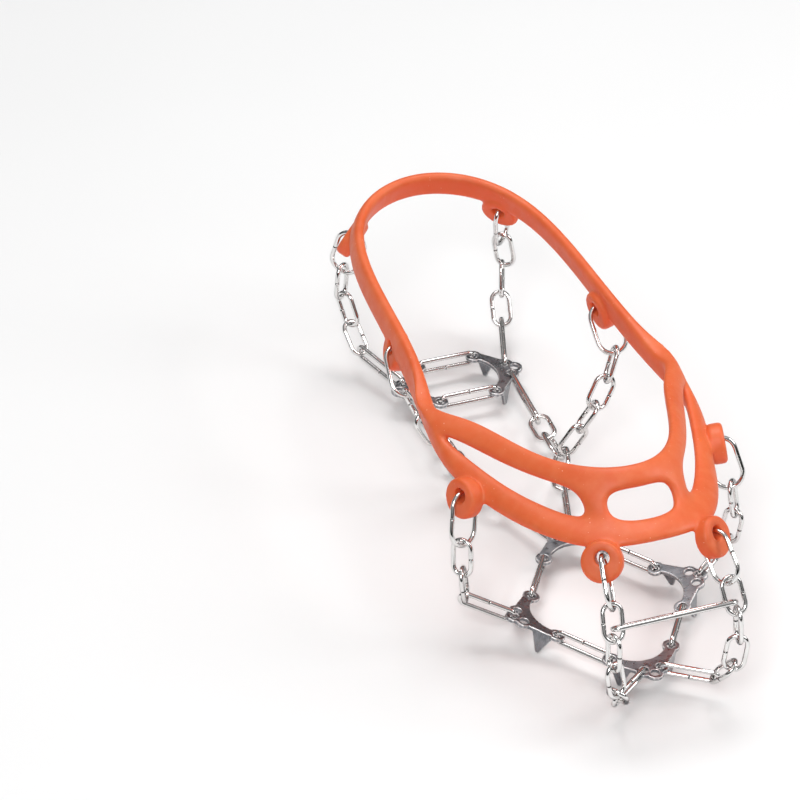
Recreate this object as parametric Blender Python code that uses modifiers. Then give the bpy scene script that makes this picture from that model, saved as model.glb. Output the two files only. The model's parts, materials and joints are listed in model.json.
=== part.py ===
"""Ice cleat for one shoe: an elastic harness over the upper, and a net of steel chain and spike plates
under the sole, in the shape that they take on a shoe.

Metres in Blender; the sizes below are in millimetres. The toe points to -Y, +X is the wearer's left, and
z = 0 is the plane that the shoe's outsole rests on, above the net. Left and right are mirror images.
"""
import math

import bmesh
import bpy
from mathutils import Matrix, Vector

MM = 0.001

# steel wire and links, mm
WIRE = 2.0  # diameter of every wire
GAP = 0.3  # clearance between two links, and between a link and what it is hooked in
OVAL = (16.6, 9.8)  # outside length and width of a chain link
HOOK = (23.0, 14.0)  # the larger link through a lug
HOOK_RISE = 0.9  # how far the hook's round end stands above the middle of the lug's hole
LONG_WIDTH = 7.2  # outside width of the long narrow links, which straddle a plate's edge
REAR_LINK = 31.5  # from the rear plate's eye to the chain behind it
BEND_STEPS = 6  # segments in a link's half-round end
TIE = 0.25  # how far the wires of two joined links press into each other
LEAN = 1.4  # how much a long link leans with the bend before it

# spike plates, mm: u runs from tip to tip, v from the tips towards the three outer eyes
PLATE_THICK = 1.6
PLATE_Z = -3.6  # middle of the plate, under the outsole
TIP_U = 12.7
SIDE_EYE = (3.4, 10.3)
MIDDLE_EYE = (0.0, 13.2)
EYE_RADIUS = 1.8
RIM_RADIUS = 3.5
HOLLOW_RADIUS = 13.1
HOLLOW_DEPTH = 5.0
FOLD_OUT = (14.4, 2.2)  # the two ends of a spike's fold line
FOLD_IN = (7.9, 8.7)
SPIKE_HEIGHT = 9.2
SPIKE_TIP = 1.5

# where the plates lie, mm
FRONT_Y = -93.2  # the front plate's tip line
STEP_X = 14.2  # from one plate's tip to the next plate's tip
STEP_Y = 20.3
HEEL_Y = 95.2  # middle of the two heel plates
SIDE_TILT = 13.0  # degrees that the side plates rise towards the sole's edge

# harness, mm
BAND_THICK = 5.0
LUG_RADIUS = 8.2
LUG_THICK = 6.4
LUG_BORE = 2.9
LUG_DROP = 1.6  # how far the disc's middle lies below its hole
BRIDGE_WAIST = (12.6, 19.4)  # where the bridge between the straps is narrowest, in x

# lugs: middle of the hole, direction that the disc faces
LUGS = {
    "toe": ((22.4, -98.6, 53.6), (0.52, -0.66, 0.54)),
    "ball": ((53.4, -37.9, 47.0), (0.93, -0.30, 0.21)),
    "mid": ((44.6, 55.8, 50.4), (0.97, 0.10, 0.22)),
    "rear": ((33.0, 134.0, 51.2), (0.66, 0.62, 0.42)),
}

# where each link from a lug aims, from the hook down to the last oval, mm, on the left side
ROUTES = {
    "toe": ((24.4, -112.6, 41.8), (26.0, -121.4, 29.4), (26.2, -122.8, 16.0), (23.4, -124.0, 4.2),
            (19.6, -115.0, -4.0)),
    "ball": ((57.8, -47.2, 29.2), (58.4, -50.6, 17.2), (55.6, -50.6, 3.0)),
    "mid": ((45.6, 41.0, 38.0), (40.6, 36.9, 27.4), (35.0, 34.6, 17.3), (28.9, 33.7, 7.4)),
    "rear": ((36.3, 137.6, 32.4), (35.4, 134.6, 20.0), (34.4, 130.4, 8.4), (31.0, 121.4, -3.6)),
}
TOE_BAR_LIFT = 3.7  # from the joint of two toe links up to the toe bar's end
TOE_BAR_WIDTH = 6.6

PARTING_TWIST = math.radians(52)  # how far the ovals near the parting are turned out of the sole's plane
PARTING_OUT = 60  # where the middle leg holds the parting oval's round end, degrees from its middle
PARTING_BACK = -30  # and where the chain to the heel does
HEEL_TURNS = (135, 195, 285)  # how the three links from there to the heel plate are turned, degrees

SIDES = {"right": -1.0, "left": 1.0}


# ---------------------------------------------------------------- materials

def material(name, colour, roughness, metallic):
    """A named Principled material."""
    mat = bpy.data.materials.get(name)
    if mat is None:
        mat = bpy.data.materials.new(name)
        mat.use_nodes = True
        shader = mat.node_tree.nodes["Principled BSDF"]
        shader.inputs["Base Color"].default_value = (*colour, 1.0)
        shader.inputs["Roughness"].default_value = roughness
        shader.inputs["Metallic"].default_value = metallic
    return mat


def orange_elastomer():
    return material("orange_elastomer", (0.83, 0.17, 0.055), 0.5, 0.0)


def polished_wire():
    return material("polished_wire", (0.74, 0.73, 0.72), 0.18, 1.0)


def dark_plate_steel():
    return material("dark_plate_steel", (0.30, 0.31, 0.33), 0.3, 1.0)


# ---------------------------------------------------------------- objects

def collections():
    """The collection of the parts and the collection of the cutters and guides."""
    made = []
    for name in ("shoe_ice_cleat", "cutters"):
        group = bpy.data.collections.new(name)
        bpy.context.scene.collection.children.link(group)
        made.append(group)
    return made


def add_object(name, data, group, mat=None):
    obj = bpy.data.objects.new(name, data)
    group.objects.link(obj)
    if mat is not None:
        data.materials.clear()
        data.materials.append(mat)
    return obj


def evaluated_copy(name, source, group, mat=None):
    """A mesh object with what source's modifiers or curve make, in world space. The source is removed."""
    bpy.context.view_layer.update()
    graph = bpy.context.evaluated_depsgraph_get()
    mesh = bpy.data.meshes.new_from_object(source.evaluated_get(graph), depsgraph=graph)
    mesh.transform(source.matrix_world)
    shape = bmesh.new()
    shape.from_mesh(mesh)
    bmesh.ops.remove_doubles(shape, verts=shape.verts, dist=1e-6)
    bmesh.ops.recalc_face_normals(shape, faces=shape.faces)
    shape.to_mesh(mesh)
    shape.free()
    mesh.name = name
    bpy.data.objects.remove(source)
    return add_object(name, mesh, group, mat)


def boolean(target, other, operation):
    """Joins other to target, or cuts it out, and applies the result to target's mesh."""
    cut = target.modifiers.new(operation.lower(), "BOOLEAN")
    cut.operation = operation
    cut.object = other
    bpy.context.view_layer.update()
    graph = bpy.context.evaluated_depsgraph_get()
    mesh = bpy.data.meshes.new_from_object(target.evaluated_get(graph), depsgraph=graph)
    target.modifiers.remove(cut)
    old = target.data
    target.data = mesh
    bpy.data.meshes.remove(old)
    bpy.data.objects.remove(other)


def cylinder(name, radius, depth, matrix, group, segments, bevel=0.0):
    """A cylinder about its local Z, in metres, with optional rounded rims."""
    shape = bmesh.new()
    bmesh.ops.create_cone(shape, cap_ends=True, segments=segments, radius1=radius, radius2=radius,
                          depth=depth)
    if bevel:
        rims = [e for e in shape.edges if abs(e.verts[0].co.z - e.verts[1].co.z) < 1e-9]
        bmesh.ops.bevel(shape, geom=rims, offset=bevel, segments=2, profile=0.5, affect="EDGES")
    mesh = bpy.data.meshes.new(name)
    shape.to_mesh(mesh)
    shape.free()
    mesh.transform(matrix)
    obj = add_object(name, mesh, group)
    obj.hide_render = True
    obj.display_type = "WIRE"
    return obj


def smooth(obj):
    obj.data.shade_smooth()
    obj.data.set_sharp_from_angle(angle=math.radians(40))


# ---------------------------------------------------------------- wire links

def frame_matrix(centre, along, face):
    """Local X along a link, local Z normal to its plane, origin at its centre, which is in mm."""
    x = Vector(along).normalized()
    z = (Vector(face) - x * Vector(face).dot(x)).normalized()
    y = z.cross(x)
    turn = Matrix((x, y, z)).transposed().to_4x4()
    return Matrix.Translation(Vector(centre) * MM) @ turn


def wire_loop(name, length, width, matrix, group):
    """A closed oval of round wire: a curve through the wire's middle line."""
    curve = bpy.data.curves.new(name, "CURVE")
    curve.dimensions = "3D"
    curve.bevel_depth = WIRE / 2 * MM
    curve.bevel_resolution = 1
    curve.render_resolution_u = 0
    radius = (width - WIRE) / 2
    half = (length - WIRE) / 2 - radius
    points = []
    for end in (1, -1):
        for i in range(BEND_STEPS + 1):
            angle = -math.pi / 2 + math.pi * i / BEND_STEPS
            points.append((end * (half + radius * math.cos(angle)), end * radius * math.sin(angle)))
    line = curve.splines.new("POLY")
    line.points.add(len(points) - 1)
    for spot, (x, y) in zip(line.points, points):
        spot.co = (x * MM, y * MM, 0.0, 1.0)
    line.use_cyclic_u = True
    line.use_smooth = True
    obj = add_object(name, curve, group, polished_wire())
    obj.matrix_world = matrix
    return obj


def pitch(length):
    """From one contact point to the other, for a link between two links."""
    return length - 2 * WIRE - GAP


def mirrored(vector, side):
    return Vector((vector[0] * side, vector[1], vector[2]))


def walk(start, route, lengths):
    """Contact points from start on: each at its link's length from the one before, towards its aim."""
    points = [Vector(start)]
    for aim, length in zip(route, lengths):
        points.append(points[-1] + (Vector(aim) - points[-1]).normalized() * length)
    return points


def turned(face, old, new, angle):
    """A face direction carried from one link's direction to the next one's, then turned about it."""
    carried = old.rotation_difference(new) @ face
    return (Matrix.Rotation(angle, 3, new) @ carried).normalized()


def chain_faces(points, first_face, last_face):
    """Each link's face direction: a quarter turn from link to link. What is left over is shared out over
    all the contacts but the last, which stays square."""
    along = [(b - a).normalized() for a, b in zip(points, points[1:])]
    faces = [(first_face - along[0] * first_face.dot(along[0])).normalized()]
    for old, new in zip(along, along[1:]):
        faces.append(turned(faces[-1], old, new, math.pi / 2))
    if last_face is None or len(faces) < 3:
        return faces
    wanted = (last_face - along[-1] * last_face.dot(along[-1])).normalized()
    rest = faces[-1].angle(wanted)
    if faces[-1].cross(wanted).dot(along[-1]) < 0:
        rest = -rest
    rest = (rest + math.pi / 2) % math.pi - math.pi / 2
    steps = len(faces) - 2
    shares = [min(1, i / steps) for i in range(len(faces))]
    return [Matrix.Rotation(rest * share, 3, t) @ f for share, t, f in zip(shares, along, faces)]


# ---------------------------------------------------------------- spike plate

def flat_outline(name, points, thickness, group):
    """A filled flat outline, made solid: its middle plane is local z = 0."""
    curve = bpy.data.curves.new(name, "CURVE")
    curve.dimensions = "2D"
    curve.fill_mode = "BOTH"
    curve.extrude = thickness / 2 * MM
    curve.render_resolution_u = 0
    line = curve.splines.new("POLY")
    line.points.add(len(points) - 1)
    for spot, (x, y) in zip(line.points, points):
        spot.co = (x * MM, y * MM, 0.0, 1.0)
    line.use_cyclic_u = True
    return add_object(name, curve, group)


def plate_mesh(group, cutters):
    """The stamped crescent: a hollow towards the tips' side, five eyes and two folded spikes."""
    centre_v = HOLLOW_DEPTH - HOLLOW_RADIUS
    spread = math.asin(9.8 / HOLLOW_RADIUS)
    steps = 10
    hollow = []
    for i in range(steps + 1):
        angle = spread - 2 * spread * i / steps
        hollow.append((HOLLOW_RADIUS * math.sin(angle), centre_v + HOLLOW_RADIUS * math.cos(angle)))
    outer = [(12.6, -1.2), FOLD_OUT, FOLD_IN, (4.6, 12.0)]
    outline = hollow + [(-u, v) for u, v in outer] + outer[::-1]
    plate = flat_outline("plate_blank", outline, PLATE_THICK, group)
    plate = evaluated_copy("plate_shape", plate, group)
    eyes = [(TIP_U, 0.0), (-TIP_U, 0.0), SIDE_EYE, (-SIDE_EYE[0], SIDE_EYE[1]), MIDDLE_EYE]
    for u, v in eyes:
        place = Matrix.Translation((u * MM, v * MM, 0))
        rim = cylinder("rim", RIM_RADIUS * MM, PLATE_THICK * MM, place, cutters, 12)
        boolean(plate, rim, "UNION")
    run = math.dist(FOLD_OUT, FOLD_IN)
    for side in (1, -1):
        out = Vector((FOLD_OUT[0] * side, FOLD_OUT[1], 0))
        way = (Vector((FOLD_IN[0] * side, FOLD_IN[1], 0)) - out).normalized()
        profile = [(0, PLATE_THICK / 2), (run, PLATE_THICK / 2), (run, 0),
                   ((run + SPIKE_TIP) / 2, -SPIKE_HEIGHT), ((run - SPIKE_TIP) / 2, -SPIKE_HEIGHT), (0, 0)]
        spike = flat_outline("spike_blank", profile, PLATE_THICK, group)
        inward = Vector((0, 0, 1)).cross(way) * side
        middle = out + inward * (PLATE_THICK / 2)
        turn = Matrix((way, Vector((0, 0, 1)), way.cross(Vector((0, 0, 1))))).transposed().to_4x4()
        spike.matrix_world = Matrix.Translation(middle * MM) @ turn
        spike = evaluated_copy("spike", spike, cutters)
        boolean(plate, spike, "UNION")
    for u, v in eyes:
        place = Matrix.Translation((u * MM, v * MM, 0))
        boolean(plate, cylinder("bore", EYE_RADIUS * MM, 4 * PLATE_THICK * MM, place, cutters, 12),
                "DIFFERENCE")
    mesh = plate.data
    bpy.data.objects.remove(plate)
    return mesh


def plate_place(x, y, outward, rise=0.0):
    """A plate's matrix: its tip line's middle at x, y in mm, its outer eyes towards outward, and raised
    by that many degrees."""
    level = Vector((outward[0], outward[1], 0))
    u = level.cross(Vector((0, 0, 1)))
    v = Matrix.Rotation(math.radians(rise), 3, u) @ level
    v = v if v.z >= 0 else Matrix.Rotation(math.radians(-rise), 3, u) @ level
    turn = Matrix((u, v, u.cross(v))).transposed().to_4x4()
    return Matrix.Translation(Vector((x, y, PLATE_Z)) * MM) @ turn


def eye_at(place, u, v):
    """An eye's middle in mm."""
    return (place @ Vector((u * MM, v * MM, 0))) / MM


# ---------------------------------------------------------------- harness

def strap_edge(x, y0, y2, y4, z0, z2, z4):
    """A strap's edge over the foot: even powers of x, so that it is level at the middle."""
    u = x / 40.0
    return Vector((x, y0 + y2 * u ** 2 + y4 * u ** 4, z0 + z2 * u ** 2 + z4 * u ** 4))


def instep_upper(x):
    return strap_edge(x, -71.5, 50.5, 16.5, 71.4, -17.6, 5.6)


def instep_lower(x):
    return strap_edge(x, -79.8, 41.0, 6.7, 66.0, -13.2, 2.7)


def toe_upper(x):
    return strap_edge(x, -90.0, 42.7, 7.1, 58.0, -14.0, 7.3)


def toe_lower(x):
    return strap_edge(x, -100.8, 10.9, 24.2, 55.6, -9.0, -0.8)


def band_rows():
    """The side band from the split behind the ball to the middle of the heel: upper, middle and lower
    points of its outer surface."""
    stations = [
        ((48.6, 12.0, 57.4), (50.2, -6.0, 52.6), (53.2, -22.0, 44.0)),
        ((44.8, 24.0, 59.4), (46.4, 15.0, 53.4), (48.6, 6.0, 45.6)),
        ((42.4, 42.0, 60.6), (44.0, 38.0, 54.8), (45.0, 34.0, 47.2)),
        ((41.2, 64.0, 61.0), (42.6, 62.0, 55.4), (43.2, 60.0, 49.4)),
        ((40.2, 86.0, 61.4), (41.6, 85.0, 56.0), (42.2, 84.0, 50.4)),
        ((37.6, 108.0, 62.0), (39.2, 108.0, 56.6), (39.8, 108.0, 51.0)),
        ((31.4, 127.0, 62.8), (33.0, 128.4, 57.4), (33.4, 129.2, 51.8)),
        ((18.6, 141.4, 64.0), (19.4, 143.4, 58.6), (19.6, 144.2, 53.0)),
        ((0.0, 147.2, 64.6), (0.0, 149.4, 59.2), (0.0, 150.2, 53.6)),
    ]
    return [[Vector(p) for p in row] for row in stations]


def harness_cage(group):
    """Half of the harness's outer surface as a coarse quad net: band, two straps and a bridge."""
    verts, faces = [], []

    def vert(p):
        verts.append(p * MM)
        return len(verts) - 1

    band = [[vert(p) for p in row] for row in band_rows()]
    for a, b in zip(band, band[1:]):
        faces.append((a[0], b[0], b[1], a[1]))
        faces.append((a[1], b[1], b[2], a[2]))
    inner, outer = BRIDGE_WAIST
    xs = (0.0, inner - 1.8, outer + 1.6, 29.0, 38.0, 45.0)
    instep = [(vert(instep_upper(x)), vert(instep_lower(x))) for x in xs[:-1]]
    instep.append((vert(Vector((45.2, -2.0, 57.6))), vert(instep_lower(44.0))))
    toe = [(vert(toe_upper(x)), vert(toe_lower(x))) for x in xs]
    for strap, end in ((instep, (band[0][0], band[0][1])), (toe, (band[0][1], band[0][2]))):
        for (a, b), (c, d) in zip(strap, strap[1:] + [end]):
            faces.append((a, c, d, b))
    left, right = [(instep[i][1], toe[i][0]) for i in (1, 2)]
    waist = [vert((instep_lower(x) + toe_upper(x)) / 2) for x in (inner, outer)]
    faces.append((left[0], right[0], waist[1], waist[0]))
    faces.append((waist[0], waist[1], right[1], left[1]))
    mesh = bpy.data.meshes.new("harness_cage")
    mesh.from_pydata(verts, [], faces)
    return add_object("harness_cage", mesh, group)


def lug_frame(name, side):
    """The middle of a lug's hole, the hole's direction, and the way down in the disc's plane."""
    hole, face = LUGS[name]
    normal = mirrored(face, side).normalized()
    down = (Vector((0, 0, -1)) + normal * normal.z).normalized()
    return mirrored(hole, side), normal, down


def harness(group, cutters):
    """The moulded harness: net, thickness, rounding, then the eight lugs and their holes."""
    cage = harness_cage(group)
    mirror = cage.modifiers.new("mirror", "MIRROR")
    mirror.merge_threshold = 0.0001
    shell = cage.modifiers.new("thickness", "SOLIDIFY")
    shell.thickness = BAND_THICK * MM
    shell.offset = -1.0
    shell.use_even_offset = True
    rounding = cage.modifiers.new("rounding", "SUBSURF")
    rounding.levels = 1
    rounding.render_levels = 1
    body = evaluated_copy("harness", cage, group, orange_elastomer())
    bores = []
    for side in SIDES.values():
        for name in LUGS:
            hole, normal, down = lug_frame(name, side)
            place = frame_matrix(hole + down * LUG_DROP, down, normal)
            disc = cylinder("lug", LUG_RADIUS * MM, LUG_THICK * MM, place, cutters, 16, 1.4 * MM)
            boolean(body, disc, "UNION")
            bores.append(frame_matrix(hole, down, normal))
    for place in bores:
        boolean(body, cylinder("lug_bore", LUG_BORE * MM, 5 * LUG_THICK * MM, place, cutters, 12),
                "DIFFERENCE")
    smooth(body)
    return body


# ---------------------------------------------------------------- the whole cleat

def loop_between(name, first, last, width, face, group):
    """A link whose half-round ends have their middles at first and last."""
    run = last - first
    length = run.length + width
    return wire_loop(name, length, width, frame_matrix((first + last) / 2, run, face), group)


def leg(names, points, faces, last_face, start_over, end_over, group):
    """A chain along its contact points. Each name comes with its link's outside width. faces holds the
    first links' face directions; the others follow by quarter turns. A narrow link's round end is held
    where the link before it pulls."""
    known = len(faces) - 1
    faces = faces[:known] + chain_faces(points[known:], faces[-1], last_face)
    ways = [(b - a).normalized() for a, b in zip(points, points[1:])]
    between = (WIRE + GAP) / 2
    over = [between if w == LONG_WIDTH else 2 * between / (a + b).length
            for a, b, (_, w) in zip(ways, ways[1:], names[1:])]
    over = [start_over] + over + [end_over]
    made = []
    for i, (name, width) in enumerate(names):
        bow = (width - WIRE) / 2
        enter = ways[i - 1] if i and width == LONG_WIDTH else ways[i]
        first = points[i] + enter * (bow - over[i])
        last = points[i + 1] - ways[i] * (bow - over[i + 1])
        made.append(loop_between(name, first, last, width, faces[i], group))
    return made


def straight_link(name, start, end, group):
    """A long link on edge, from eye to eye or from bar end to bar end."""
    face = (end - start).cross(Vector((0, 0, 1)))
    return leg([(name, LONG_WIDTH)], [start, end], [face], None, 0.0, 0.0, group)[0]


def joined(name, links, group):
    """Chain links pulled apart until their wires press into each other, as one closed solid."""
    middle = len(links) // 2
    for i, link in enumerate(links):
        along = link.matrix_world.to_3x3().col[0]
        link.matrix_world.translation += along * (i - middle) * (GAP + TIE) * MM
    spots = [link.matrix_world.translation.copy() for link in (links[0], links[-1])]
    face = links[0].matrix_world.to_3x3().col[2].copy()
    solids = [evaluated_copy(link.name, link, group) for link in links]
    for other in solids[1:]:
        boolean(solids[0], other, "UNION")
    chain = solids[0]
    chain.name = name
    chain.data.name = name
    chain.data.materials.clear()
    chain.data.materials.append(polished_wire())
    chain.matrix_world = frame_matrix((spots[0] + spots[1]) / 2 / MM, spots[1] - spots[0], face)
    chain.data.transform(chain.matrix_world.inverted())


def lug_leg(name, side_name, links, end, last_face, end_over, group):
    """The chain from a lug down to the net: its hook, its ovals, and the link that ends at end. Without
    last_face, the last link stands on edge and leans with the bend before it."""
    side = SIDES[side_name]
    hole, normal, _ = lug_frame(name, side)
    hook_run = HOOK[0] - WIRE - HOOK_RISE - (WIRE + GAP) / 2
    runs = [hook_run] + [pitch(OVAL[0])] * (len(links) - 2)
    points = walk(hole, [mirrored(p, side) for p in ROUTES[name]], runs) + [Vector(end)]
    along = [(b - a).normalized() for a, b in zip(points, points[1:])]
    faces = [along[0].cross(normal).normalized()]
    if name == "toe":
        faces.append(along[1].cross(Vector((1, 0, 0))).normalized())
    if last_face is None:
        bend = along[-2].cross(along[-1])
        last_face = along[-1].cross(Vector((0, 0, 1))).normalized()
        last_face += bend * math.copysign(LEAN, bend.dot(last_face))
    names = [(f"{link}_{side_name}", width) for link, width in links]
    return points, leg(names, points, faces, last_face, HOOK_RISE, end_over, group)


def build():
    for old in list(bpy.data.objects):
        bpy.data.objects.remove(old)
    group, cutters = collections()
    harness(group, cutters)

    mesh = plate_mesh(group, cutters)
    mesh.materials.clear()
    mesh.materials.append(dark_plate_steel())
    side_x = TIP_U + STEP_X
    side_y = FRONT_Y + STEP_Y + TIP_U
    rear_y = side_y + TIP_U + STEP_Y
    places = {
        "front_plate": plate_place(0, FRONT_Y, (0, -1)),
        "side_plate_right": plate_place(-side_x, side_y, (-1, 0), SIDE_TILT),
        "side_plate_left": plate_place(side_x, side_y, (1, 0), SIDE_TILT),
        "rear_plate": plate_place(0, rear_y, (0, 1)),
        "heel_plate_right": plate_place(-TIP_U, HEEL_Y, (-1, 0)),
        "heel_plate_left": plate_place(TIP_U, HEEL_Y, (1, 0)),
    }
    for name, place in places.items():
        add_object(name, mesh, group).matrix_world = place

    up = Vector((0, 0, 1))
    oval_run = pitch(OVAL[0])
    between = (WIRE + GAP) / 2
    bar_ends = []
    for name, side in SIDES.items():
        def eye(plate, want):
            """The eye of a plate that lies nearest to a point given for the left side."""
            spots = [(TIP_U, 0), (-TIP_U, 0), SIDE_EYE, (-SIDE_EYE[0], SIDE_EYE[1]), MIDDLE_EYE]
            found = [eye_at(places[plate], u, v) for u, v in spots]
            return min(found, key=lambda p: (p - mirrored(want, side)).length)

        side_plate, heel_plate = f"side_plate_{name}", f"heel_plate_{name}"
        straight_link(f"front_net_link_{name}", eye("front_plate", (TIP_U, FRONT_Y, 0)),
                      eye(side_plate, (side_x, side_y - TIP_U, 0)), group)
        straight_link(f"rear_net_link_{name}", eye(side_plate, (side_x, side_y + TIP_U, 0)),
                      eye("rear_plate", (TIP_U, rear_y, 0)), group)

        toe_links = [("toe_hook", HOOK[1])] + [(f"toe_link_{i}", OVAL[1]) for i in (1, 2, 3, 4)]
        end = eye("front_plate", (SIDE_EYE[0], FRONT_Y - SIDE_EYE[1], 0))
        points, _ = lug_leg("toe", name, toe_links + [("toe_long_link", LONG_WIDTH)], end, None, 0.0, group)
        upward = (points[1] - points[2]).normalized()
        bar_ends.append(points[2] + upward * TOE_BAR_LIFT)

        ball_links = [("ball_hook", HOOK[1]), ("ball_link_1", OVAL[1]), ("ball_link_2", OVAL[1])]
        end = eye(side_plate, (side_x + MIDDLE_EYE[1], side_y, 0))
        points, _ = lug_leg("ball", name, ball_links + [("ball_long_link", LONG_WIDTH)], end, None,
                            0.0, group)

        # behind the rear plate: a long link and two ovals, to where the chain parts in two
        start = eye("rear_plate", (SIDE_EYE[0], rear_y + SIDE_EYE[1], 0))
        first = start + mirrored((9.9, 29.9, -0.5), side).normalized() * REAR_LINK
        way = mirrored((0.345, 0.938, -0.02), side).normalized()
        points = [start, first, first + way * oval_run, first + way * 2 * oval_run]
        outward = way.cross(up) * side
        lifted = outward * math.cos(PARTING_TWIST) + up * math.sin(PARTING_TWIST)
        faces = [(first - start).cross(up), up, way.cross(lifted)]
        ends = [("rear_long_link", LONG_WIDTH), ("arch_link_1", OVAL[1]), ("arch_link_2", OVAL[1])]
        leg([(f"{n}_{name}", w) for n, w in ends], points, faces, None, 0.0, between, group)
        bow = (OVAL[1] - WIRE) / 2
        round_end = points[-1] + way * (between - bow)

        def on_end(angle):
            """A contact point inside the last oval's round end, and the wire's direction there."""
            turn = math.radians(angle)
            spot = way * math.cos(turn) + lifted * math.sin(turn)
            return round_end + spot * (bow - between), lifted * math.cos(turn) - way * math.sin(turn)

        out_point, wire_way = on_end(PARTING_OUT)
        mid_links = [("mid_hook", HOOK[1])] + [(f"mid_link_{i}", OVAL[1]) for i in (1, 2, 3, 4)]
        points, made = lug_leg("mid", name, mid_links, out_point, wire_way, between, group)
        joined(f"mid_link_pair_{name}", made[3:], group)

        back_point, _ = on_end(PARTING_BACK)
        heel_eye = eye(heel_plate, (TIP_U + SIDE_EYE[1], HEEL_Y - SIDE_EYE[0], 0))
        back = (heel_eye - back_point).normalized()
        points = [back_point, back_point + back * oval_run, back_point + back * 2 * oval_run, heel_eye]
        faces = []
        for turn in HEEL_TURNS:
            across = outward * math.cos(math.radians(turn)) + up * math.sin(math.radians(turn))
            faces.append(back.cross(across).normalized())
        ends = [("heel_link_1", OVAL[1]), ("heel_link_2", OVAL[1]), ("heel_long_link", LONG_WIDTH)]
        leg([(f"{n}_{name}", w) for n, w in ends], points, faces, None, between, 0.0, group)

        rear_links = [("rear_hook", HOOK[1])] + [(f"rear_link_{i}", OVAL[1]) for i in (1, 2, 3)]
        end = eye(heel_plate, (TIP_U + SIDE_EYE[1], HEEL_Y + SIDE_EYE[0], 0))
        points, made = lug_leg("rear", name, rear_links + [("heel_rear_long_link", LONG_WIDTH)], end, None,
                               0.0, group)
        joined(f"rear_link_chain_{name}", made[1:4], group)

    leg([("toe_crossbar", TOE_BAR_WIDTH)], bar_ends, [upward], None, 0.0, 0.0, group)
    for y, link in ((HEEL_Y - TIP_U, "heel_net_link_front"), (HEEL_Y + TIP_U, "heel_net_link_rear")):
        straight_link(link, Vector((-TIP_U, y, PLATE_Z)), Vector((TIP_U, y, PLATE_Z)), group)


build()
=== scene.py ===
"""Ice cleat for one shoe, its looks: a moulded orange harness, polished wire links and stamped spike plates,
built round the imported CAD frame. Metres in Blender; sizes named below are in millimetres. The toe points to
-Y, +X is the wearer's left, and the outsole rests on z = 0.
"""
import json
import math

import bmesh
import bpy
import numpy as np
from mathutils import Matrix, Vector

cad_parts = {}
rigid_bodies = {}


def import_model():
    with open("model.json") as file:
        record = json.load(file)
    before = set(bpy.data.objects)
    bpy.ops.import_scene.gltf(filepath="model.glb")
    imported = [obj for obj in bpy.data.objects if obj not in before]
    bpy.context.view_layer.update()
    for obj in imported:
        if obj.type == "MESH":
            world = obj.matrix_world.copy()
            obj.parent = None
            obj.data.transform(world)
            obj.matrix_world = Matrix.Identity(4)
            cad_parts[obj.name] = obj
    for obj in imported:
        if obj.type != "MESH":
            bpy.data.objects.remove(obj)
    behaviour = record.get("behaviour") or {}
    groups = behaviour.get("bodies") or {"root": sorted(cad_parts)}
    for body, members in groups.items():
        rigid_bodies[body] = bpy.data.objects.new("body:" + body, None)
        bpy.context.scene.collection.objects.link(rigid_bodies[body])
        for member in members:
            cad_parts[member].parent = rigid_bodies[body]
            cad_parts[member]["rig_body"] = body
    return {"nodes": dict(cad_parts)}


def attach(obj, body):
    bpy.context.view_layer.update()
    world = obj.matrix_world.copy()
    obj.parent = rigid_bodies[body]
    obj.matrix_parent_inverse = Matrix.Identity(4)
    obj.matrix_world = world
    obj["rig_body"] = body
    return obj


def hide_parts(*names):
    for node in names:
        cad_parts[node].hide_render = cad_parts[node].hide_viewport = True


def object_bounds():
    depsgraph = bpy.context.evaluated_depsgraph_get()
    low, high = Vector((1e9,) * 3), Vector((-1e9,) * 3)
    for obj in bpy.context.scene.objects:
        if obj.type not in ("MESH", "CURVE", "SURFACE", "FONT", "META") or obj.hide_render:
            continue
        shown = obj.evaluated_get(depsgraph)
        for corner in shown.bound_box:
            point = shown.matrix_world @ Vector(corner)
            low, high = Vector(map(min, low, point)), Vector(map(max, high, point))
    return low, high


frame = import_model()
cad_low, cad_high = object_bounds()

MM = 0.001

# wire links, mm
WIRE = 2.0
DRAWN = 1.88  # the shown wire's thickness: thinner than in CAD, to clear its neighbours at the limits
BEND_STEPS = 14  # rings in a half-round end
SIDES = 20  # points round the wire
SEAM = ((-0.5, 1.0, 0.0), (-0.22, 0.98, 0.2), (-0.12, 0.84, 1.0), (0.12, 0.84, 1.0), (0.22, 0.98, 0.2),
        (0.5, 1.0, 0.0))  # along the wire, its thickness there, how dark
OVAL = 16.6  # outside length of a chain link
CHAIN_END = 4.6  # how much of a joined chain's end belongs to its last oval alone
CHAIN_MIDDLE = 3.9  # half of the stretch that belongs to the middle oval of three alone
CHAINS = {"mid_link_pair": 2, "rear_link_chain": 3}  # ovals in each chain that is one CAD solid

# harness, mm
BAND_THICK = 5.0
LUG_RADIUS = 8.2
LUG_THICK = 6.4
LUG_BORE = 2.9
LUG_DROP = 1.6  # how far a disc's middle lies below its hole
LUG_ROUND = 1.5  # the disc's rounded rim
BRIDGE_WAIST = (12.6, 19.4)  # where the bridge between the straps is narrowest, in x
MOULD_GRAIN = 0.5  # the remeshed surface's cell
MOULD_SMOOTHING = 12  # steps that turn the joints between band and lugs into fillets
MERGE = 0.1  # the two mirrored halves meet within this

LUGS = {  # middle of the hole, direction that the disc faces
    "toe": ((22.4, -98.6, 53.6), (0.52, -0.66, 0.54)),
    "ball": ((53.4, -37.9, 47.0), (0.93, -0.30, 0.21)),
    "mid": ((44.6, 55.8, 50.4), (0.97, 0.10, 0.22)),
    "rear": ((33.0, 134.0, 51.2), (0.66, 0.62, 0.42)),
}

PLATES = ("front_plate", "side_plate_right", "side_plate_left", "rear_plate", "heel_plate_right",
          "heel_plate_left")
PLATE_CELL = 0.2  # the remeshed plate's cell, mm
PLATE_SMOOTHING = 10  # steps that round its edges
WEAR_AND_HIGHLIGHT_SMOOTHING = 10  # steps to the surroundings that the edges' wear and painted highlight are measured from
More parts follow.
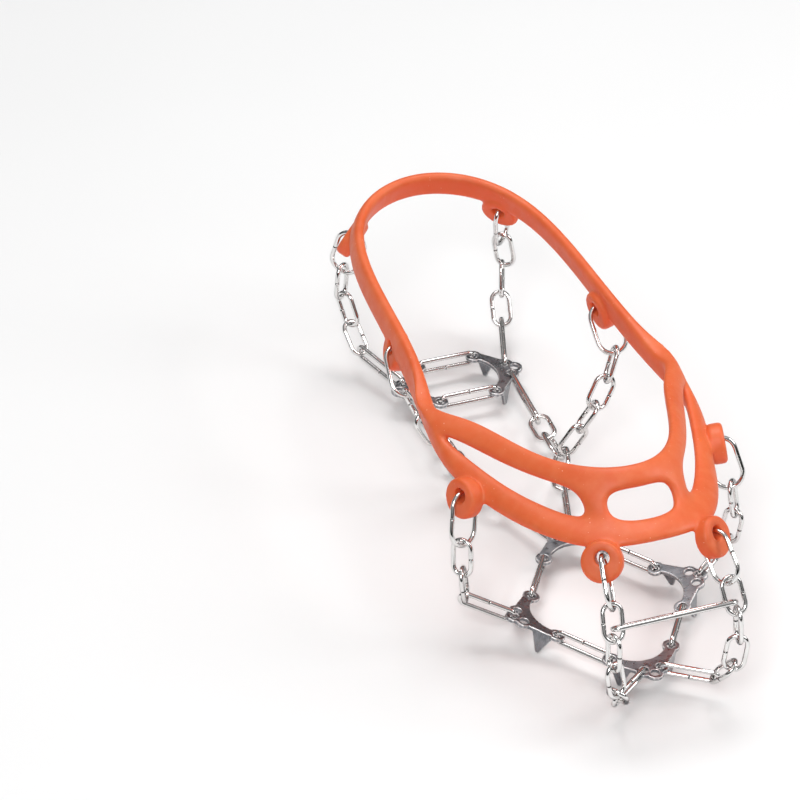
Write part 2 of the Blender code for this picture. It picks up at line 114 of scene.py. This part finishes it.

# camera: the photo's direction, in degrees, and where it aims, in metres
AZIMUTH = -23.24
ELEVATION = 36.54
ROLL = 2.71
DISTANCE = 1.80045
AIM = (-0.04616, 0.04702, 0.03071)
LENS = 201.5
SENSOR = 36.0

# stage
FLOOR_SIZE = 6.0  # half its side, in metres
FLOOR_GAP = 0.2  # mm below the spike tips
LIGHTS = (  # name, place, size of the lamp, power
    ("key", (-0.55, -0.75, 0.95), (0.5, 0.5), 7.2),
    ("fill", (0.9, -0.3, 0.7), (0.5, 0.6), 5.0),
    ("top", (0.1, 0.45, 1.1), (0.8, 0.5), 6.6),
)
LIT = (0, 0, 0.03)  # where the lamps aim
SURROUND = ((0.62, 0.04), (0.70, 0.35), (0.75, 0.55), (0.80, 0.12), (0.88, 0.5))  # height 0..1, grey
SURROUND_STRENGTH = 0.7


# ---------------------------------------------------------------- materials

def start_material(name):
    """A Principled material, its node tree, its shader, and object coordinates."""
    mat = bpy.data.materials.new(name)
    mat.use_nodes = True
    tree = mat.node_tree
    where = tree.nodes.new("ShaderNodeTexCoord").outputs["Object"]
    return mat, tree, tree.nodes["Principled BSDF"], where


def noise(tree, where, scale, detail=3.0, rough=0.55, stretch=None):
    """Procedural noise, 0 to 1. scale is in cells per metre."""
    node = tree.nodes.new("ShaderNodeTexNoise")
    node.inputs["Scale"].default_value = scale
    node.inputs["Detail"].default_value = detail
    node.inputs["Roughness"].default_value = rough
    if stretch is not None:
        mapping = tree.nodes.new("ShaderNodeMapping")
        mapping.inputs["Scale"].default_value = stretch
        tree.links.new(where, mapping.inputs["Vector"])
        where = mapping.outputs["Vector"]
    tree.links.new(where, node.inputs["Vector"])
    return node.outputs["Fac"]


def spread(tree, value, low, high, to_low, to_high):
    """value from low..high, stretched and clamped to to_low..to_high."""
    node = tree.nodes.new("ShaderNodeMapRange")
    for socket, number in zip(("From Min", "From Max", "To Min", "To Max"), (low, high, to_low, to_high)):
        node.inputs[socket].default_value = number
    tree.links.new(value, node.inputs["Value"])
    return node.outputs["Result"]


def mixed(tree, factor, a, b):
    """Colour a where factor is 0, b where it is 1. Each is a colour or a socket."""
    node = tree.nodes.new("ShaderNodeMix")
    node.data_type = "RGBA"
    tree.links.new(factor, node.inputs["Factor"])
    for socket, colour in ((node.inputs[6], a), (node.inputs[7], b)):
        if isinstance(colour, tuple):
            socket.default_value = (*colour, 1.0)
        else:
            tree.links.new(colour, socket)
    return node.outputs[2]


def bump(tree, heights):
    """Bumps laid over each other. heights has (socket, depth in mm, strength)."""
    normal = None
    for height, depth, strength in heights:
        node = tree.nodes.new("ShaderNodeBump")
        node.inputs["Distance"].default_value = depth * MM
        node.inputs["Strength"].default_value = strength
        tree.links.new(height, node.inputs["Height"])
        if normal is not None:
            tree.links.new(normal, node.inputs["Normal"])
        normal = node.outputs["Normal"]
    return normal


def painted_edge_glow(tree, low, high):
    """0 on flat surface, 1 on outer edges; it masks the painted glow of light through the harness's thin
    edges.
    """
    return spread(tree, tree.nodes.new("ShaderNodeNewGeometry").outputs["Pointiness"], low, high, 0.0, 1.0)


def elastomer():
    """Soft moulded orange rubber: a little translucent, matt, with flow marks, grain and pale specks. Painted
    shade makes it deeper orange where it faces down, and a painted glow of light through thin rubber makes
    its outer edges a more saturated orange."""
    mat, tree, shader, where = start_material("orange_elastomer")
    flow = spread(tree, noise(tree, where, 38.0, 2.0), 0.3, 0.7, 0.0, 1.0)
    colour = mixed(tree, flow, (0.70, 0.112, 0.026), (0.76, 0.142, 0.040))
    cloudy = spread(tree, noise(tree, where, 160.0, 4.0), 0.42, 0.72, 0.0, 0.35)
    colour = mixed(tree, cloudy, colour, (0.80, 0.215, 0.085))
    # painted light: outer edges get a saturated orange, a painted glow of light shining through thin rubber
    edges = painted_edge_glow(tree, 0.52, 0.62)
    colour = mixed(tree, edges, colour, (0.86, 0.15, 0.022))
    # painted shade: the surface turns a darker, deeper orange the more it faces down
    facing = tree.nodes.new("ShaderNodeSeparateXYZ")
    tree.links.new(tree.nodes.new("ShaderNodeNewGeometry").outputs["Normal"], facing.inputs["Vector"])
    painted_underside_shade = spread(tree, facing.outputs["Z"], -0.35, 0.45, 0.85, 0.0)
    colour = mixed(tree, painted_underside_shade, colour, (0.83, 0.088, 0.009))
    speck = spread(tree, noise(tree, where, 900.0, 1.0), 0.76, 0.80, 0.0, 0.6)
    colour = mixed(tree, speck, colour, (0.95, 0.55, 0.40))
    tree.links.new(colour, shader.inputs["Base Color"])
    shader.inputs["Subsurface Weight"].default_value = 0.22
    shader.inputs["Subsurface Radius"].default_value = (1.0, 0.32, 0.12)
    shader.inputs["Subsurface Scale"].default_value = 0.003
    matt = spread(tree, noise(tree, where, 260.0, 3.0), 0.3, 0.7, 0.42, 0.56)
    tree.links.new(matt, shader.inputs["Roughness"])
    grain = noise(tree, where, 2400.0, 2.0)
    waves = noise(tree, where, 110.0, 2.0)
    tree.links.new(bump(tree, [(waves, 0.5, 0.35), (grain, 0.05, 0.35)]), shader.inputs["Normal"])
    return mat


def wire_steel():
    """Polished steel wire: smears and drawing marks in its gloss, and a dark seam where its ends meet."""
    mat, tree, shader, where = start_material("polished_wire")
    tint = spread(tree, noise(tree, where, 300.0, 3.0), 0.3, 0.7, 0.0, 1.0)
    colour = mixed(tree, tint, (0.86, 0.85, 0.84), (0.76, 0.75, 0.74))
    grime = spread(tree, noise(tree, where, 900.0, 3.0), 0.64, 0.80, 0.0, 0.35)
    colour = mixed(tree, grime, colour, (0.42, 0.40, 0.38))
    seam = tree.nodes.new("ShaderNodeAttribute")
    seam.attribute_name = "seam"
    colour = mixed(tree, seam.outputs["Fac"], colour, (0.02, 0.018, 0.016))
    tree.links.new(colour, shader.inputs["Base Color"])
    shader.inputs["Metallic"].default_value = 1.0
    shader.inputs["Specular Tint"].default_value = (0.22, 0.22, 0.23, 1.0)
    gloss = spread(tree, noise(tree, where, 700.0, 4.0), 0.3, 0.75, 0.06, 0.18)
    tree.links.new(gloss, shader.inputs["Roughness"])
    dents = noise(tree, where, 420.0, 2.0)
    marks = noise(tree, where, 3000.0, 2.0)
    tree.links.new(bump(tree, [(dents, 0.05, 0.3), (marks, 0.006, 0.3)]), shader.inputs["Normal"])
    return mat


def plate_steel():
    """Stamped dark steel: rolled grain, blotches, bright edges that are partly wear and partly a painted
    highlight.
    """
    mat, tree, shader, where = start_material("dark_plate_steel")
    blotch = spread(tree, noise(tree, where, 120.0, 4.0, 0.6), 0.32, 0.68, 0.0, 1.0)
    colour = mixed(tree, blotch, (0.11, 0.115, 0.13), (0.30, 0.31, 0.33))
    rolled = spread(tree, noise(tree, where, 500.0, 4.0, 0.6, (1.0, 7.0, 1.0)), 0.35, 0.7, 0.0, 0.45)
    colour = mixed(tree, rolled, colour, (0.42, 0.43, 0.45))
    # wear and painted highlight: edges that stand out are lightened, partly as real wear, partly as a painted
    # highlight
    edge = tree.nodes.new("ShaderNodeAttribute")
    edge.attribute_name = "wear_and_highlight"
    worn_and_highlit = spread(tree, edge.outputs["Fac"], 0.03, 0.13, 0.0, 0.9)
    colour = mixed(tree, worn_and_highlit, colour, (0.80, 0.80, 0.80))
    tree.links.new(colour, shader.inputs["Base Color"])
    shader.inputs["Metallic"].default_value = 1.0
    gloss = spread(tree, noise(tree, where, 420.0, 4.0), 0.3, 0.75, 0.22, 0.42)
    tree.links.new(gloss, shader.inputs["Roughness"])
    dents = noise(tree, where, 240.0, 3.0)
    scratches = noise(tree, where, 900.0, 4.0, 0.6, (1.0, 9.0, 1.0))
    tree.links.new(bump(tree, [(dents, 0.10, 0.5), (scratches, 0.02, 0.4)]), shader.inputs["Normal"])
    return mat


def floor_paper():
    mat, tree, shader, where = start_material("floor_paper")
    tone = spread(tree, noise(tree, where, 3.0, 2.0), 0.3, 0.7, 0.0, 1.0)
    tree.links.new(mixed(tree, tone, (0.84, 0.84, 0.84), (0.87, 0.87, 0.87)), shader.inputs["Base Color"])
    shader.inputs["Roughness"].default_value = 0.7
    tree.links.new(bump(tree, [(noise(tree, where, 800.0), 0.05, 0.1)]), shader.inputs["Normal"])
    return mat


# ---------------------------------------------------------------- meshes

def add_object(name, mesh, mat=None):
    obj = bpy.data.objects.new(name, mesh)
    bpy.context.scene.collection.objects.link(obj)
    if mat is not None:
        mesh.materials.clear()
        mesh.materials.append(mat)
    return obj


def dress(obj, mat):
    """Smooth shading and one material."""
    obj.data.shade_smooth()
    obj.data.materials.clear()
    obj.data.materials.append(mat)


def applied(obj):
    """Makes obj's modifiers into its mesh."""
    bpy.context.view_layer.update()
    graph = bpy.context.evaluated_depsgraph_get()
    mesh = bpy.data.meshes.new_from_object(obj.evaluated_get(graph), depsgraph=graph)
    obj.modifiers.clear()
    obj.data = mesh


def cut_or_join(target, other, operation):
    step = target.modifiers.new(operation.lower(), "BOOLEAN")
    step.operation = operation
    step.object = other
    applied(target)
    bpy.data.objects.remove(other)


# ---------------------------------------------------------------- wire links

def add_loop(shape, seam_layer, place, length, width):
    """A closed oval of round wire in place's local XY plane, its long side along X, butted at a seam in the
    middle of one straight side."""
    radius = (width - WIRE) / 2
    half = (length - WIRE) / 2 - radius
    rings = []
    for end in (1, -1):
        for i in range(BEND_STEPS + 1):
            turn = math.pi * (i / BEND_STEPS - 0.5)
            out = Vector((math.cos(turn), math.sin(turn), 0)) * end
            rings.append((Vector((end * half, 0, 0)) + out * radius, out, 1.0, 0.0))
        if end == 1:
            for along, thickness, dark in SEAM:
                rings.append((Vector((-along, radius, 0)), Vector((0, 1, 0)), thickness, dark))
    built = []
    for centre, out, thickness, dark in rings:
        ring = []
        for k in range(SIDES):
            turn = 2 * math.pi * k / SIDES
            reach = out * math.cos(turn) + Vector((0, 0, 1)) * math.sin(turn)
            vert = shape.verts.new(place @ ((centre + reach * (DRAWN / 2 * thickness)) * MM))
            vert[seam_layer] = dark
            ring.append(vert)
        built.append(ring)
    for a, b in zip(built, built[1:] + built[:1]):
        for k in range(SIDES):
            nxt = (k + 1) % SIDES
            shape.faces.new((a[k], a[nxt], b[nxt], b[k])).smooth = True


def cad_points(node):
    """The node's different corners, in metres."""
    corners = np.array([v.co for v in frame["nodes"][node].data.vertices], float)
    return np.unique(np.round(corners, 6), axis=0)


def span(points, axis):
    reach = points @ axis
    return reach.min(), reach.max()


def place_of(centre, along, face):
    x, z = Vector(along).normalized(), Vector(face).normalized()
    turn = Matrix((x, z.cross(x), z)).transposed().to_4x4()
    return Matrix.Translation(Vector(centre)) @ turn


def single_loop(points):
    """Where a flat loop lies, and its outside length and width in mm."""
    along, across, face = np.linalg.svd(points - points.mean(0), full_matrices=False)[2]
    centre = sum(axis * sum(span(points, axis)) / 2 for axis in (along, across, face))
    length, width = [(high - low) / MM for low, high in (span(points, along), span(points, across))]
    return place_of(centre, along, face), length, width


def chain_loops(points, count):
    """Where the ovals of a straight joined chain lie, one after the other. A half-round end that stands free
    tells its oval's plane, and the wires in the very middle tell the middle oval's."""
    chain = np.linalg.svd(points - points.mean(0), full_matrices=False)[2][0]
    low, high = span(points, chain)
    reach = points @ chain
    found = []
    for sign, cap in ((-1, reach < low + CHAIN_END * MM), (1, reach > high - CHAIN_END * MM)):
        part = points[cap]
        across, _, face = np.linalg.svd(part - part.mean(0), full_matrices=False)[2]
        along = np.cross(face, across)
        along = along * sign * math.copysign(1, along @ chain)
        width = span(part, across)
        tip = span(part, along)[1]
        centre = along * (tip - OVAL / 2 * MM) + across * sum(width) / 2 + face * sum(span(part, face)) / 2
        found.append((place_of(centre, along, face), OVAL, (width[1] - width[0]) / MM))
    if count == 3:
        part = points[abs(reach - (low + high) / 2) < CHAIN_MIDDLE * MM]
        across, _, face = np.linalg.svd(part - part.mean(0), full_matrices=False)[2]
        along = np.cross(face, across)
        centre = sum(axis * sum(span(part, axis)) / 2 for axis in (along, across, face))
        found.insert(1, (place_of(centre, along, face), OVAL, found[0][2]))
    return found


def wire_piece(node, mat):
    """Smooth round wires in place of a CAD link or joined chain."""
    points = cad_points(node)
    count = CHAINS.get(node.rsplit("_", 1)[0], 1)
    loops = [single_loop(points)] if count == 1 else chain_loops(points, count)
    shape = bmesh.new()
    seam_layer = shape.verts.layers.float.new("seam")
    for place, length, width in loops:
        add_loop(shape, seam_layer, place, length, width)
    bmesh.ops.recalc_face_normals(shape, faces=shape.faces)
    mesh = bpy.data.meshes.new(f"{node}_wire")
    shape.to_mesh(mesh)
    shape.free()
    wire = add_object(f"{node}_wire", mesh, mat)
    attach(wire, frame["nodes"][node]["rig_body"])
    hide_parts(node)


# ---------------------------------------------------------------- harness

def strap_edge(x, y0, y2, y4, z0, z2, z4):
    """A strap's edge over the foot: even powers of x, so that it is level at the middle."""
    u = x / 40.0
    return Vector((x, y0 + y2 * u ** 2 + y4 * u ** 4, z0 + z2 * u ** 2 + z4 * u ** 4))


def instep_upper(x):
    return strap_edge(x, -71.5, 50.5, 16.5, 71.4, -17.6, 5.6)


def instep_lower(x):
    return strap_edge(x, -79.8, 41.0, 6.7, 66.0, -13.2, 2.7)


def toe_upper(x):
    return strap_edge(x, -90.0, 42.7, 7.1, 58.0, -14.0, 7.3)


def toe_lower(x):
    return strap_edge(x, -100.8, 10.9, 24.2, 55.6, -9.0, -0.8)


def band_rows():
    """The side band from the split behind the ball to the middle of the heel: upper, middle and lower
    points of its outer surface."""
    stations = [
        ((48.6, 12.0, 57.4), (50.2, -6.0, 52.6), (53.2, -22.0, 44.0)),
        ((44.8, 24.0, 59.4), (46.4, 15.0, 53.4), (48.6, 6.0, 45.6)),
        ((42.4, 42.0, 60.6), (44.0, 38.0, 54.8), (45.0, 34.0, 47.2)),
        ((41.2, 64.0, 61.0), (42.6, 62.0, 55.4), (43.2, 60.0, 49.4)),
        ((40.2, 86.0, 61.4), (41.6, 85.0, 56.0), (42.2, 84.0, 50.4)),
        ((37.6, 108.0, 62.0), (39.2, 108.0, 56.6), (39.8, 108.0, 51.0)),
        ((31.4, 127.0, 62.8), (33.0, 128.4, 57.4), (33.4, 129.2, 51.8)),
        ((18.6, 141.4, 64.0), (19.4, 143.4, 58.6), (19.6, 144.2, 53.0)),
        ((0.0, 147.2, 64.6), (0.0, 149.4, 59.2), (0.0, 150.2, 53.6)),
    ]
    return [[Vector(p) for p in row] for row in stations]


def harness_cage():
    """Half of the harness's outer surface as a coarse quad net: band, two straps and a bridge."""
    verts, faces = [], []

    def vert(p):
        verts.append(p * MM)
        return len(verts) - 1

    band = [[vert(p) for p in row] for row in band_rows()]
    for a, b in zip(band, band[1:]):
        faces.append((a[0], b[0], b[1], a[1]))
        faces.append((a[1], b[1], b[2], a[2]))
    inner, outer = BRIDGE_WAIST
    xs = (0.0, inner - 1.8, outer + 1.6, 29.0, 38.0, 45.0)
    instep = [(vert(instep_upper(x)), vert(instep_lower(x))) for x in xs[:-1]]
    instep.append((vert(Vector((45.2, -2.0, 57.6))), vert(instep_lower(44.0))))
    toe = [(vert(toe_upper(x)), vert(toe_lower(x))) for x in xs]
    for strap, end in ((instep, (band[0][0], band[0][1])), (toe, (band[0][1], band[0][2]))):
        for (a, b), (c, d) in zip(strap, strap[1:] + [end]):
            faces.append((a, c, d, b))
    left, right = [(instep[i][1], toe[i][0]) for i in (1, 2)]
    waist = [vert((instep_lower(x) + toe_upper(x)) / 2) for x in (inner, outer)]
    faces.append((left[0], right[0], waist[1], waist[0]))
    faces.append((waist[0], waist[1], right[1], left[1]))
    mesh = bpy.data.meshes.new("harness_shell")
    mesh.from_pydata(verts, [], faces)
    return add_object("harness_shell", mesh)


def discs(radius, depth, drop, bevel):
    """Eight cylinders on the lugs' axes, as one mesh."""
    shape = bmesh.new()
    for side in (1, -1):
        for hole, face in LUGS.values():
            normal = Vector((face[0] * side, face[1], face[2])).normalized()
            down = (Vector((0, 0, -1)) + normal * normal.z).normalized()
            centre = Vector((hole[0] * side, hole[1], hole[2])) + down * drop
            made = bmesh.ops.create_cone(shape, cap_ends=True, segments=48, radius1=radius * MM,
                                         radius2=radius * MM, depth=depth * MM,
                                         matrix=place_of(centre * MM, down, normal))["verts"]
            if bevel:
                rims = {e for v in made for e in v.link_edges if any(len(f.verts) > 4 for f in e.link_faces)}
                bmesh.ops.bevel(shape, geom=list(rims), offset=bevel * MM, segments=4, profile=0.5,
                                affect="EDGES")
    mesh = bpy.data.meshes.new("discs")
    shape.to_mesh(mesh)
    shape.free()
    return add_object("discs", mesh)


def harness_piece(mat):
    """The moulded harness with rounded edges and soft fillets where the lugs grow out of it."""
    shell = harness_cage()
    mirror = shell.modifiers.new("mirror", "MIRROR")
    mirror.merge_threshold = MERGE * MM
    thickness = shell.modifiers.new("thickness", "SOLIDIFY")
    thickness.thickness = BAND_THICK * MM
    thickness.offset = -1.0
    thickness.use_even_offset = True
    rounding = shell.modifiers.new("rounding", "SUBSURF")
    rounding.levels = 3
    rounding.render_levels = 3
    applied(shell)
    cut_or_join(shell, discs(LUG_RADIUS, LUG_THICK, LUG_DROP, LUG_ROUND), "UNION")
    cut_or_join(shell, discs(LUG_BORE, 5 * LUG_THICK, 0.0, 0.0), "DIFFERENCE")
    remesh = shell.modifiers.new("skin", "REMESH")
    remesh.mode = "VOXEL"
    remesh.voxel_size = MOULD_GRAIN * MM
    remesh.use_smooth_shade = True
    soften = shell.modifiers.new("fillets", "SMOOTH")
    soften.factor = 0.5
    soften.iterations = MOULD_SMOOTHING
    applied(shell)
    dress(shell, mat)
    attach(shell, "harness")
    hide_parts("harness")


# ---------------------------------------------------------------- spike plates

def mark_edges(mesh, rounds):
    """Stores how far each vertex stands out of its surroundings, in mm, as a vertex attribute; the plate
    steel lightens its edges by it, as wear and as a painted highlight.
    """
    count = len(mesh.vertices)
    places, normals = np.empty(count * 3), np.empty(count * 3)
    mesh.vertices.foreach_get("co", places)
    mesh.vertices.foreach_get("normal", normals)
    places, normals = places.reshape(-1, 3), normals.reshape(-1, 3)
    ends = np.empty(len(mesh.edges) * 2, int)
    mesh.edges.foreach_get("vertices", ends)
    a, b = ends.reshape(-1, 2).T
    neighbours = np.bincount(a, minlength=count) + np.bincount(b, minlength=count)
    soft = places.copy()
    for _ in range(rounds):
        sums = [np.bincount(a, soft[b, k], count) + np.bincount(b, soft[a, k], count) for k in range(3)]
        soft = np.stack(sums, 1) / neighbours[:, None]
    wear_and_highlight = ((places - soft) * normals).sum(1) / MM
    mesh.attributes.new("wear_and_highlight", "FLOAT", "POINT").data.foreach_set("value", wear_and_highlight.astype(np.float32))


def plate_piece(node, mat):
    """A stamped plate: the CAD plate's shape with rounded edges, and marks of where its edges stand out, for
    their wear and their painted highlight.
    """
    plate = add_object(f"{node}_stamping", frame["nodes"][node].data.copy())
    skin = plate.modifiers.new("skin", "REMESH")
    skin.mode = "VOXEL"
    skin.voxel_size = PLATE_CELL * MM
    soften = plate.modifiers.new("edges", "SMOOTH")
    soften.factor = 0.5
    soften.iterations = PLATE_SMOOTHING
    applied(plate)
    mark_edges(plate.data, WEAR_AND_HIGHLIGHT_SMOOTHING)
    dress(plate, mat)
    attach(plate, frame["nodes"][node]["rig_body"])
    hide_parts(node)


# ---------------------------------------------------------------- stage

def area_light(name, place, size, power):
    lamp = bpy.data.lights.new(name, "AREA")
    lamp.shape = "RECTANGLE"
    lamp.size, lamp.size_y = size
    lamp.energy = power
    obj = bpy.data.objects.new(name, lamp)
    obj.location = place
    obj.rotation_euler = (Vector(LIT) - Vector(place)).to_track_quat("-Z", "Y").to_euler()
    bpy.context.scene.collection.objects.link(obj)


def studio():
    """Pale floor, soft lights, and a surround that is white to the camera and darker at the sides, so that
    the polished wires have dark outlines."""
    shape = bmesh.new()
    bmesh.ops.create_grid(shape, x_segments=24, y_segments=24, size=FLOOR_SIZE)
    mesh = bpy.data.meshes.new("floor")
    shape.to_mesh(mesh)
    shape.free()
    floor = add_object("floor", mesh, floor_paper())
    floor.location.z = cad_low.z - FLOOR_GAP * MM

    world = bpy.data.worlds.new("studio")
    bpy.context.scene.world = world
    world.use_nodes = True
    tree = world.node_tree
    back = tree.nodes["Background"]
    height = tree.nodes.new("ShaderNodeSeparateXYZ")
    tree.links.new(tree.nodes.new("ShaderNodeTexCoord").outputs["Generated"], height.inputs["Vector"])
    ramp = tree.nodes.new("ShaderNodeValToRGB")
    stops = ramp.color_ramp.elements
    stops[0].position, stops[0].color = 0.50, (0.02, 0.02, 0.022, 1)
    stops[1].position, stops[1].color = 0.98, (1.0, 1.0, 1.0, 1)
    for position, grey in SURROUND:
        stop = stops.new(position)
        stop.color = (grey, grey, grey, 1)
    tree.links.new(spread(tree, height.outputs["Z"], -1.0, 1.0, 0.0, 1.0), ramp.inputs["Fac"])
    seen = tree.nodes.new("ShaderNodeLightPath").outputs["Is Camera Ray"]
    tree.links.new(mixed(tree, seen, ramp.outputs["Color"], (0.93, 0.93, 0.93)), back.inputs["Color"])
    back.inputs["Strength"].default_value = SURROUND_STRENGTH
    bpy.context.scene.view_settings.view_transform = "Standard"

    for light in LIGHTS:
        area_light(*light)


def camera():
    azimuth, elevation, roll = [math.radians(a) for a in (AZIMUTH, ELEVATION, ROLL)]
    back = Vector((math.sin(azimuth) * math.cos(elevation), -math.cos(azimuth) * math.cos(elevation),
                   math.sin(elevation)))
    right = (-back).cross(Vector((0, 0, 1))).normalized()
    up = right.cross(-back)
    tilted = right * math.cos(roll) + up * math.sin(roll)
    turn = Matrix((tilted, back.cross(tilted), back)).transposed().to_4x4()
    data = bpy.data.cameras.new("camera")
    data.lens = LENS
    data.sensor_width = SENSOR
    data.clip_start = 0.01
    obj = bpy.data.objects.new("camera", data)
    obj.matrix_world = Matrix.Translation(Vector(AIM) + back * DISTANCE) @ turn
    bpy.context.scene.collection.objects.link(obj)
    bpy.context.scene.camera = obj


harness_piece(elastomer())
wire = wire_steel()
for node in sorted(frame["nodes"]):
    if node != "harness" and node not in PLATES:
        wire_piece(node, wire)
steel = plate_steel()
for node in PLATES:
    plate_piece(node, steel)
studio()
camera()
